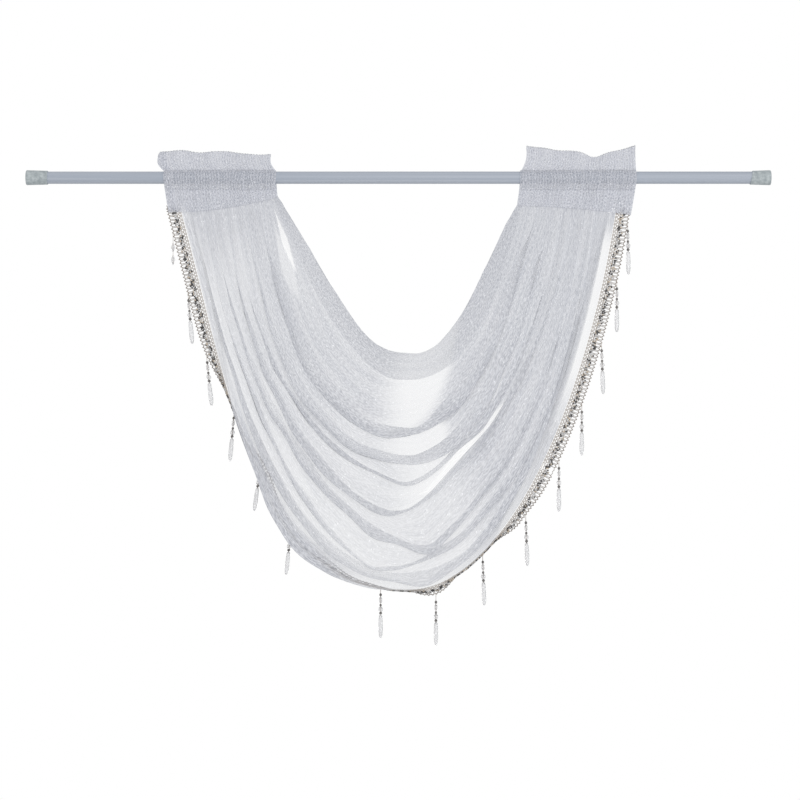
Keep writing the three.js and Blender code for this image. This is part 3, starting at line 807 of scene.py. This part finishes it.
def tubes(paths, ups, radius):
    """Thin tubes along many paths with the same number of points, as (points, faces)."""
    count, steps, _ = paths.shape
    along = unit(np.gradient(paths, axis=1))
    side = unit(np.cross(along, ups))
    up = np.cross(side, along)
    turns = TURN * np.arange(THREAD_SIDES) / THREAD_SIDES
    ring = side[:, :, None] * np.cos(turns)[:, None] + up[:, :, None] * np.sin(turns)[:, None]
    points = paths[:, :, None] + radius * ring
    index = np.arange(count * steps * THREAD_SIDES).reshape(count, steps, THREAD_SIDES)
    beside = np.roll(index, -1, axis=2)
    faces = np.stack([index[:, :-1], beside[:, :-1], beside[:, 1:], index[:, 1:]], axis=-1)
    return points, faces.reshape(-1, 4)


def bead_shape(steps):
    """A round bead of radius 1 from the sides of a cube, as (points, faces)."""
    turns = np.tan(math.pi / 4 * np.linspace(-1, 1, steps + 1))
    first, second = np.meshgrid(turns, turns, indexing="ij")
    side_faces = grid_faces(np.arange(first.size).reshape(first.shape))
    points = []
    faces = []
    for axis in range(3):
        for way in (-1, 1):
            side = np.zeros((*first.shape, 3))
            side[..., axis] = way
            side[..., (axis + 1) % 3] = first
            side[..., (axis + 2) % 3] = way * second
            faces.append(side_faces + first.size * len(points))
            points.append(unit(side).reshape(-1, 3))
    return np.concatenate(points), np.concatenate(faces)


BEAD_POINTS, BEAD_FACES = bead_shape(BEAD_SIDE_STEPS)


def beads(centres, radii):
    """Many round beads, as (points, faces)."""
    points = centres[:, None] + radii[:, None, None] * BEAD_POINTS[None]
    starts = np.arange(len(centres)) * len(BEAD_POINTS)
    faces = (BEAD_FACES[None] + starts[:, None, None]).reshape(-1, 4)
    return points, faces


def lathe(profile, flatten, turn):
    """A shape turned about the vertical from (drop, radius) rows, as (points, faces)."""
    turns = turn + TURN * np.arange(PENDANT_SIDES) / PENDANT_SIDES
    drop, radius = np.array(profile).T[:, :, None]
    rings = np.broadcast_arrays(radius * np.cos(turns), flatten * radius * np.sin(turns), -drop)
    index = np.arange(len(profile) * PENDANT_SIDES).reshape(len(profile), PENDANT_SIDES)
    return np.stack(rings, axis=-1), grid_faces(np.pad(index, ((0, 0), (0, 1)), mode="wrap"))


def new_material(name, colour, roughness, sockets=None):
    """A material with its constants set on the shader, as (material, node tree, shader)."""
    made = bpy.data.materials.new(name)
    made.use_nodes = True
    shader = made.node_tree.nodes["Principled BSDF"]
    shader.inputs["Base Color"].default_value = linear(colour)
    shader.inputs["Roughness"].default_value = roughness
    for socket, value in (sockets or {}).items():
        shader.inputs[socket].default_value = value
    return made, made.node_tree, shader


def stretched_noise(tree, source, scale, detail=NOISE_DETAIL):
    """Noise over a set of coordinates that are scaled by different amounts."""
    mapping = tree.nodes.new("ShaderNodeMapping")
    mapping.inputs["Scale"].default_value = scale
    tree.links.new(source, mapping.inputs["Vector"])
    noise = tree.nodes.new("ShaderNodeTexNoise")
    noise.inputs["Scale"].default_value = 1
    noise.inputs["Detail"].default_value = detail
    tree.links.new(mapping.outputs["Vector"], noise.inputs["Vector"])
    return noise.outputs["Fac"]


def object_noise(tree, scale, detail=NOISE_DETAIL):
    """Noise over the object's own coordinates."""
    return stretched_noise(tree, tree.nodes.new("ShaderNodeTexCoord").outputs["Object"], scale, detail)


def mapped(tree, source, part, target=SHARES):
    """A value moved from one range to another."""
    node = tree.nodes.new("ShaderNodeMapRange")
    for socket, value in zip(("From Min", "From Max", "To Min", "To Max"), (*part, *target)):
        node.inputs[socket].default_value = value
    tree.links.new(source, node.inputs["Value"])
    return node.outputs["Result"]


def combined(tree, operation, first, second):
    """Two values put together."""
    node = tree.nodes.new("ShaderNodeMath")
    node.operation = operation
    tree.links.new(first, node.inputs[0])
    tree.links.new(second, node.inputs[1])
    return node.outputs["Value"]


def tinted(tree, shader, share, look):
    """A base colour between a look's dark and pale ones."""
    node = tree.nodes.new("ShaderNodeMix")
    node.data_type = "RGBA"
    tree.links.new(share, node.inputs["Factor"])
    colours = [socket for socket in node.inputs if socket.type == "RGBA"]
    colours[0].default_value = linear(look["dark"])
    colours[1].default_value = linear(look["pale"])
    tint = next(socket for socket in node.outputs if socket.type == "RGBA")
    tree.links.new(tint, shader.inputs["Base Color"])


def bumped(tree, shader, height, strength, distance):
    """Relief on a shader's surface."""
    bump = tree.nodes.new("ShaderNodeBump")
    bump.inputs["Strength"].default_value = strength
    bump.inputs["Distance"].default_value = distance
    tree.links.new(height, bump.inputs["Height"])
    tree.links.new(bump.outputs["Normal"], shader.inputs["Normal"])


def painted_glints(tree, uv):
    """Small scattered painted glints in the weave, which glow, as shares from 0 to 1."""
    cells = tree.nodes.new("ShaderNodeTexVoronoi")
    cells.inputs["Scale"].default_value = GLINT_SCALE
    tree.links.new(uv, cells.inputs["Vector"])
    near = mapped(tree, cells.outputs["Distance"], GLINT_REACH, SHARES[::-1])
    chosen = tree.nodes.new("ShaderNodeSeparateColor")
    tree.links.new(cells.outputs["Color"], chosen.inputs["Color"])
    return combined(tree, "MULTIPLY", near, mapped(tree, chosen.outputs["Red"], GLINT_CHOICE))


def stored_value(tree, title):
    """A value stored at the points of a mesh."""
    node = tree.nodes.new("ShaderNodeAttribute")
    node.attribute_name = title
    return node.outputs["Fac"]


def voile(name):
    """Sheer crinkled voile: short creases, soft pleats along the folds, a fine grain, painted highlights and
    small painted glints that glow.
    """
    look = VOILES[name]
    made, tree, shader = new_material(name, look["pale"], VOILE_ROUGHNESS, VOILE_SOCKETS)
    places = tree.nodes.new("ShaderNodeUVMap")
    places.uv_map = "cloth"
    uv = places.outputs["UV"]
    creases = stretched_noise(tree, uv, look["creases"], NO_DETAIL)
    grain = stretched_noise(tree, uv, GRAIN, NO_DETAIL)
    pleats = stretched_noise(tree, uv, PLEATS)
    relief = combined(tree, "ADD", creases, mapped(tree, grain, SHARES, (0, GRAIN_SHARE)))
    bumped(tree, shader, relief, *VOILE_BUMP)
    closeness = stored_value(tree, "gather")
    cover = mapped(tree, closeness, SHARES, look["cover"])
    creased = mapped(tree, creases, WIDE_PART, (-CREASE_COVER, CREASE_COVER))
    layered = mapped(tree, pleats, PLEAT_PART, (-PLEAT_COVER, PLEAT_COVER))
    pleated = combined(tree, "MULTIPLY", closeness, layered)
    uneven_cover = combined(tree, "ADD", cover, combined(tree, "ADD", creased, pleated))
    tree.links.new(uneven_cover, shader.inputs["Alpha"])
    # Base colour: the crepe's tone, raised towards pale by the painted highlights stored on the mesh.
    lit = combined(tree, "MAXIMUM", mapped(tree, relief, RELIEF_PART), stored_value(tree, "painted_highlight"))
    tinted(tree, shader, lit, look)
    # The painted glints glow white through the emission.
    glow = mapped(tree, painted_glints(tree, uv), SHARES, (0, GLINT_GLOW))
    tree.links.new(glow, shader.inputs["Emission Strength"])
    return made


def yarn(name):
    """Twisted braid yarn."""
    look = YARNS[name]
    made, tree, shader = new_material(name, look["pale"], YARN_ROUGHNESS, {"Sheen Weight": YARN_SHEEN})
    fibre = object_noise(tree, YARN_FIBRE)
    tinted(tree, shader, mapped(tree, fibre, MIDDLE_PART), look)
    bumped(tree, shader, fibre, *YARN_BUMP)
    return made


def polished(name):
    """A small polished bead, slightly clouded."""
    look = BEAD_FINISHES[name]
    sockets = {"Metallic": look["metallic"], "Coat Weight": BEAD_COAT}
    made, tree, shader = new_material(name, look["pale"], look["roughness"], sockets)
    tinted(tree, shader, mapped(tree, object_noise(tree, BEAD_CLOUD), MIDDLE_PART), look)
    return made


def clear_drop():
    """Clear moulded plastic with faint clouding."""
    made, tree, shader = new_material("clear_drop", DROP_COLOUR, DROP_ROUGHNESS, DROP_SOCKETS)
    clouded = mapped(tree, object_noise(tree, DROP_CLOUD), MIDDLE_PART, DROP_ROUGHNESSES)
    tree.links.new(clouded, shader.inputs["Roughness"])
    return made


def rod_paint():
    """Satin blue-grey paint with faint bands drawn along the tube."""
    made, tree, shader = new_material("rod_paint", ROD_COLOUR, ROD_ROUGHNESS, ROD_SOCKETS)
    tinted(tree, shader, mapped(tree, object_noise(tree, ROD_BANDS), WIDE_PART), ROD_TONES)
    specks = object_noise(tree, ROD_SPECKS)
    tree.links.new(mapped(tree, specks, WIDE_PART, ROD_ROUGHNESSES), shader.inputs["Roughness"])
    bumped(tree, shader, specks, *ROD_BUMP)
    return made


def cap_rubber():
    """Pale mottled rubber."""
    made, tree, shader = new_material("cap_rubber", CAP_COLOUR, CAP_ROUGHNESS)
    mottle = object_noise(tree, CAP_MOTTLE, CAP_DETAIL)
    tinted(tree, shader, mapped(tree, mottle, MIDDLE_PART), CAP_TONES)
    bumped(tree, shader, object_noise(tree, CAP_GRAIN), *CAP_BUMP)
    return made


def build_swag(finish):
    """The gathered panel of voile between the two headings."""
    places = np.linspace(-1, 1, SWAG_ROWS)
    found = sheet_lines(places)
    lines = [points for _, points, _ in found]
    steps = span_steps(lines, SWAG_STEP, SPAN_STEPS)
    points = smooth_sections(lines, steps, FOLD_ROUNDING)
    along, across = np.broadcast_arrays(travelled(points, 1).mean(axis=0)[None, :],
                                        travelled(points, 0).mean(axis=1)[:, None])
    waves = TURN * CRINKLE_WAVES * across / across.max()
    phase = waves + CRINKLE_DRIFT * uneven(along, across, *DRIFT_BUMPS)
    patches = PATCH_LEVEL + PATCH_SWING * uneven(along, across, *PATCH_BUMPS)
    crinkle = CRINKLE_DEPTH * np.sin(phase) * patches
    wrinkle = WRINKLE_DEPTH * uneven(WRINKLE_STRETCH * along, across, *WRINKLE_BUMPS)
    relief = end_fade(places, CRINKLE_FADE)[None, :] * (crinkle + wrinkle)
    points = points + grid_normals(points) * relief[:, :, None]
    uv = np.stack([along, across], axis=-1)
    # Painted highlights: the fold lips and the crease walls behind them are lightened in the base colour.
    values = {"gather": sheet_gathers(found, steps, places), "painted_highlight": sheet_painted_highlights(found, steps, places)}
    piece = grid_piece("swag_cloth", points, uv, values, finish)
    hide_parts("swag")
    return piece


def heading_sides(heading, level, bottom):
    """A heading's left and right edges at some levels: straight at the rod, with a step to the ruffle."""
    step_from, step_to = EDGE_STEP
    rise = smoothstep((level - step_from) / (step_to - step_from))
    fall = np.clip((level + step_from) / (bottom + step_from), 0, 1)
    sides = []
    for edge in (heading["left"], heading["right"]):
        above = edge["rod"] + rise * (edge["top"] - edge["rod"])
        below = edge["rod"] + fall * (edge["seam"] - edge["rod"])
        sides.append(np.where(level > 0, above, below))
    return sides


def ruffle_top(heading, share):
    """The height of a heading's ruffle, eased between its steps, with a rounded left corner."""
    steps = np.arange(len(heading["ruffle"]))
    top = np.interp(share * steps[-1], steps, heading["ruffle"])
    padded = np.pad(top, RUFFLE_EASE // 2, mode="edge")
    softened = np.convolve(padded, np.ones(RUFFLE_EASE) / RUFFLE_EASE, mode="valid")
    radius = heading["corner"]
    short = np.maximum(radius - share * heading_width(heading, "top"), 0)
    return softened - radius + np.sqrt(radius**2 - short**2)


def heading_levels(top, bottom):
    """A heading's half section as (depth, height) rows, from its lower seam to its ruffle's top."""
    level = np.ones(HEADING_COLUMNS)
    band = [bottom, (bottom + POCKET_SEAM) / 2, (POCKET_SEAM - SEAM_EDGE) * level, POCKET_SEAM * level]
    turns = [math.radians(degrees) for degrees in LOOP_DEGREES]
    loop = [(LOOP_RADIUS * math.cos(turn), LOOP_RADIUS * math.sin(turn) * level) for turn in turns]
    ruffle = [RUFFLE_SEAM * level, (RUFFLE_SEAM + SEAM_EDGE) * level, (RUFFLE_SEAM + top) / 2, top]
    return [*zip(BAND_STANDS, band), *loop, *zip(RUFFLE_STANDS, ruffle)]


def heading_look(heading, level, share):
    """How close a heading's weave is across one level, and how much painted highlight its ribs carry there.

    It is closer in the side hem and has no painted rib highlight there, and it is thinner over the braid's
    end."""
    inset = (share if heading["name"] == "left" else 1 - share) * heading_width(heading, "rod")
    cover = HEADING_COVER[level] + SIDE_HEM_COVER * (inset < heading["side_hem"])
    painted_highlight = HEADING_PAINTED_LIGHT[level] * (inset > heading["side_hem"])
    return np.where((level == 0) & (inset < BRAID_SHOWS), BRAID_COVER, cover), painted_highlight


def build_heading(heading, finish):
    """A folded band of voile: a short ruffle, the rod's pocket and a doubled band, front and back."""
    share = np.linspace(0, 1, HEADING_COLUMNS)
    top = ruffle_top(heading, share)
    bottom = -seam_drop_at(heading, share)
    half = list(enumerate(heading_levels(top, bottom)))
    lines = []
    looks = []
    for way, order in ((-1, half), (1, half[::-1])):
        for level, (depth, height) in order:
            rise = np.clip((height - RUFFLE_SEAM) / (top - RUFFLE_SEAM), 0, 1)
            wave = RUFFLE_DEPTH * rise * np.sin(TURN * RUFFLE_WAVES * share)
            left, right = heading_sides(heading, height, bottom)
            x = MIDDLE_X + left + share * (right - left)
            lines.append(np.stack([x, way * depth + wave, height], axis=1))
            looks.append(heading_look(heading, level, share))
    steps = span_steps(lines, HEADING_STEP, HEADING_SPAN_STEPS)
    points = smooth_sections(lines, steps, HEADING_ROUNDING)
    along, across = np.broadcast_arrays(travelled(points, 0).mean(axis=1)[:, None],
                                        share[None, :] * heading_width(heading, "rod"))
    rib = np.sin(TURN * across / RIB_PITCH + RIB_DRIFT * uneven(across, along, *RIB_BUMPS))
    relief = RIB_DEPTH * rib + CREPE_DEPTH * uneven(across, along, *CREPE_BUMPS)
    points = points + grid_normals(points) * relief[:, :, None]
    uv = np.stack([along, across], axis=-1)
    cover, painted_highlight = np.moveaxis(spread_between(np.array(looks), steps), 1, 0)
    # Painted highlight on the rib crests, least over the rod's pocket, as painted shade.
    values = {"gather": cover + RIB_COVER * rib, "painted_highlight": painted_highlight * rib}
    piece = grid_piece(f"heading_cloth_{heading['name']}", points, uv, values, finish)
    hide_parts(f"heading_{heading['name']}")
    return piece


def build_stitches(heading, finish):
    """Rows of stitches along the ruffle's seam and under the rod, front and back."""
    parts = Parts()
    bottom = -heading["seam_drop"]["middle"]
    for height, stand in STITCH_ROWS:
        left, right = heading_sides(heading, height, bottom)
        starts = np.arange(left + STITCH_PITCH, right - STITCH_PITCH, STITCH_PITCH)
        x = MIDDLE_X + starts[:, None] + STITCH_LENGTH * np.array([0, 0.5, 1])
        for way in (-1, 1):
            y = way * (stand + STITCH_DIP * np.array([-1, 1, -1]))
            paths = np.stack(np.broadcast_arrays(x, y, height), axis=-1)
            ups = np.broadcast_to(np.array([0.0, 0, 1]), paths.shape)
            parts.add(*tubes(paths, ups, STITCH_RADIUS), 0)
    piece = parts.piece(f"stitches_{heading['name']}", [finish])
    return piece


class Braid:
    """The braid's own directions: distance along it, across it from the cloth, and up from its back.

    Its two upper ends are tucked up behind the headings."""

    def __init__(self):
        self.places = np.linspace(LEFT_START, RIGHT_START, BRAID_STEPS)
        self.hem, along, self.hem_across = hem_frame(self.places)
        front = -unit(np.cross(along, self.hem_across))
        share = np.linspace(0, 1, TUCK_STEPS + 1)[1:, None]
        back = np.array([0, TUCK_BACK, 0]) * smoothstep(2 * share)
        left_end = (self.hem[0] - BRAID_TUCK * share * along[0] + back)[::-1]
        right_end = self.hem[-1] + BRAID_TUCK * share * along[-1] + back
        ends = ((TUCK_STEPS, TUCK_STEPS), (0, 0))
        self.point = np.concatenate([left_end, self.hem, right_end])
        self.across = np.pad(self.hem_across, ends, mode="edge")
        self.front = np.pad(front, ends, mode="edge")
        self.distance = travelled(self.point, 0)

    def span_of(self, trim):
        """The distances along the braid between which one of its lengths runs."""
        hem_distance = self.distance[TUCK_STEPS:TUCK_STEPS + BRAID_STEPS]
        start, end = np.interp([trim["from"], trim["to"]], self.places, hem_distance)
        if trim["from"] == LEFT_START:
            start = 0
        if trim["to"] == RIGHT_START:
            end = self.distance[-1]
        return start, end

    def points(self, distances, across, lift=0):
        """Points on the braid."""
        out = points_at(distances, self.distance, self.across) * (TRIM_GAP + across)[..., None]
        up = points_at(distances, self.distance, self.front) * lift
        return points_at(distances, self.distance, self.point) + out + up

    def threads(self, distances, across, radius):
        """Threads along many paths on the braid, as (points, faces)."""
        fronts = unit(points_at(distances, self.distance, self.front))
        return tubes(self.points(distances, across), fronts, radius)


def stops_between(start, end, pitch):
    """The numbers of the whole pitches that lie between two distances."""
    return np.arange(math.ceil(start / pitch), math.floor(end / pitch) + 1)


def braid_loops(braid, centres, near, far):
    """A row of open loops across the braid, as (points, faces)."""
    turn = np.linspace(0, math.pi, LOOP_STEPS)[None, :]
    along = centres[:, None] - LOOP_WIDTH / 2 * np.cos(turn)
    return braid.threads(along, near + (far - near) * np.sin(turn) ** LOOP_SQUARE, THREAD_RADIUS)


def build_braid(braid, trim, materials):
    """One length of the braid: pale rails, and loops, cord and picots between and outside them in the brown
    yarn, darker partly as painted shade.
    """
    start, end = braid.span_of(trim)
    parts = Parts()
    fine = np.arange(start, end, BRAID_PITCH / BRAID_SAMPLES)[None, :]
    wave = np.cos(TURN * fine / BRAID_PITCH)
    for rail in RAILS:
        parts.add(*braid.threads(fine, rail + RAIL_SWING * wave, RAIL_RADIUS), PALE)
    parts.add(*braid.threads(fine, EDGE_CORD + EDGE_SWING * wave, THREAD_RADIUS), BROWN_AND_PAINTED_SHADE)
    centres = stops_between(start + BRAID_PITCH, end - BRAID_PITCH, BRAID_PITCH) * BRAID_PITCH
    for row in LOOP_ROWS:
        shifted = centres + row["phase"] * BRAID_PITCH
        parts.add(*braid_loops(braid, shifted, row["from"], row["to"]), BROWN_AND_PAINTED_SHADE)
    picots = braid.points(centres, np.full(len(centres), PICOT_ACROSS))
    parts.add(*beads(picots, np.full(len(centres), PICOT_RADIUS)), BROWN_AND_PAINTED_SHADE)
    piece = parts.piece(f"braid_{trim['name']}", materials)
    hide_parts(trim["node"])
    return piece


def build_beads(braid, trim, materials):
    """The winding band of mixed beads sewn down one length of the braid."""
    start, end = braid.span_of(trim)
    parts = Parts()
    numbers = stops_between(start, end, BEAD_STEP)
    pick = np.random.default_rng(BEAD_SEED)
    for row, offset in enumerate(BEAD_ROWS):
        kinds = pick.choice(len(BEAD_MIX), size=BEAD_COUNT, p=list(BEAD_MIX.values()))
        sizes = pick.uniform(*BEAD_SIZES, size=BEAD_COUNT)
        for kind in range(len(BEAD_MIX)):
            chosen = numbers[kinds[numbers] == kind]
            distances = (chosen + row / len(BEAD_ROWS)) * BEAD_STEP
            across = BEAD_LINE + offset + BEAD_SWING * np.sin(TURN * distances / BEAD_PERIOD)
            centres = braid.points(distances, across, BEAD_LIFT)
            parts.add(*beads(centres, BEAD_RADIUS * sizes[chosen]), kind)
    piece = parts.piece(f"beads_{trim['name']}", materials)
    return piece


def pendant_roots(braid):
    """Where each pendant hangs on the braid's outer edge, with its lean and its shapes."""
    outer = braid.hem + braid.hem_across * (TRIM_GAP + TRIM_WIDTH)
    roots = outer - braid.hem_across * PENDANT_ROOT
    walked = travelled(outer, 0)
    found = []
    for run in PENDANT_RUNS:
        for index, (gone, lean) in enumerate(zip(run["distances"], run["leans"])):
            at = gone if run["from_left"] else walked[-1] - gone
            shapes = SHORT_PENDANT if index < run["short"] else LONG_PENDANT
            found.append((points_at(at, walked, roots), lean, shapes))
    return found


def hung(points, root, lean):
    """A pendant's points, leaning from its root."""
    moved = points.copy()
    moved[..., 0] -= math.tan(math.radians(lean)) * np.minimum(moved[..., 2], 0)
    return moved + root


def build_pendants(braid, thread_finish, dark_finish, clear_finish):
    """All pendants: their threads and small beads as one piece, their clear shapes as another."""
    solid = Parts()
    clear = Parts()
    for index, (root, lean, shapes) in enumerate(pendant_roots(braid)):
        for kind, profile in shapes:
            points, faces = lathe(profile, DROP_FLATNESS if kind == "drop" else 1, PENDANT_TURN * index)
            group = clear if kind in ("clear", "drop") else solid
            group.add(hung(points, root, lean), faces, 1 if kind == "dark" else 0)
    beads_piece = solid.piece("pendant_beads", [thread_finish, dark_finish])
    drops_piece = clear.piece("pendant_drops", [clear_finish])
    return [beads_piece, drops_piece]


def build_stage():
    """A pale floor well below the valance, out of the photo's view."""
    made, _, _ = new_material("floor", FLOOR_COLOUR, FLOOR_ROUGHNESS)
    reach = FLOOR_REACH
    corners = [(-reach, -reach), (reach, -reach), (reach, reach), (-reach, reach)]
    points = np.array([(*corner, FLOOR_HEIGHT) for corner in corners])
    new_object("floor", new_mesh("floor", points, np.array([[0, 1, 2, 3]]), [made]))


def build_world():
    """Even white surroundings, with a softer light than they show."""
    world = bpy.data.worlds.new("studio")
    bpy.context.scene.world = world
    world.use_nodes = True
    tree = world.node_tree
    lit = tree.nodes["Background"]
    seen = tree.nodes.new("ShaderNodeBackground")
    for node, colour, strength in ((lit, WORLD_TINT, WORLD_LIGHT), (seen, WHITE, SEEN_LIGHT)):
        node.inputs["Color"].default_value = colour
        node.inputs["Strength"].default_value = strength
    path = tree.nodes.new("ShaderNodeLightPath")
    mix = tree.nodes.new("ShaderNodeMixShader")
    shown = combined(tree, "MAXIMUM", path.outputs["Is Camera Ray"], path.outputs["Is Transmission Ray"])
    tree.links.new(shown, mix.inputs["Fac"])
    tree.links.new(lit.outputs["Background"], mix.inputs[1])
    tree.links.new(seen.outputs["Background"], mix.inputs[2])
    tree.links.new(mix.outputs["Shader"], tree.nodes["World Output"].inputs["Surface"])


def add_light(name, light):
    """A soft square light that faces the valance."""
    data = bpy.data.lights.new(name, "AREA")
    data.shape = "SQUARE"
    data.size = light["size"]
    data.energy = light["power"]
    lamp = new_object(name, data)
    lamp.location = light["place"]
    way = np.array(LIT_POINT) - np.array(light["place"])
    lean = math.atan2(math.hypot(way[0], way[1]), -way[2])
    lamp.rotation_euler = (lean, 0, math.atan2(way[1], way[0]) - math.pi / 2)


def build_camera():
    """A camera straight in front, at the photo's framing."""
    data = bpy.data.cameras.new("camera")
    data.lens = LENS
    data.sensor_width = SENSOR
    camera = new_object("camera", data)
    distance = VIEW_WIDTH * LENS / SENSOR
    camera.location = (VIEW_CENTRE[0], -distance, VIEW_CENTRE[1])
    camera.rotation_euler = (math.pi / 2, 0, 0)
    bpy.context.scene.camera = camera
    bpy.context.scene.view_settings.view_transform = "Standard"


def dress_nodes():
    """Better materials on the rod's own solids."""
    finishes = {"rod_tube": rod_paint(), "rod_cap_left": cap_rubber()}
    finishes["rod_cap_right"] = finishes["rod_cap_left"]
    for name, finish in finishes.items():
        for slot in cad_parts[name].material_slots:
            slot.material = finish


def build_all():
    """Everything that shows."""
    build_camera()
    build_world()
    build_stage()
    for name, light in LIGHTS.items():
        add_light(name, light)
    dress_nodes()
    voiles = {name: voile(name) for name in VOILES}
    yarns = {name: yarn(name) for name in YARNS}
    finishes = {name: polished(name) for name in BEAD_FINISHES}
    swag = build_swag(voiles["swag_voile"])
    braid = Braid()
    trimmings = []
    for trim in TRIMS:
        trimmings.append(build_braid(braid, trim, [yarns["pale_yarn"], yarns["brown_yarn_and_painted_shade"]]))
        trimmings.append(build_beads(braid, trim, [finishes[name] for name in BEAD_MIX]))
    trimmings += build_pendants(braid, yarns["pale_yarn"], finishes["bead_grey"], clear_drop())
    for heading in HEADINGS:
        cloth = build_heading(heading, voiles["heading_voile"])
        stitches = build_stitches(heading, voiles["heading_voile"])


build_all()
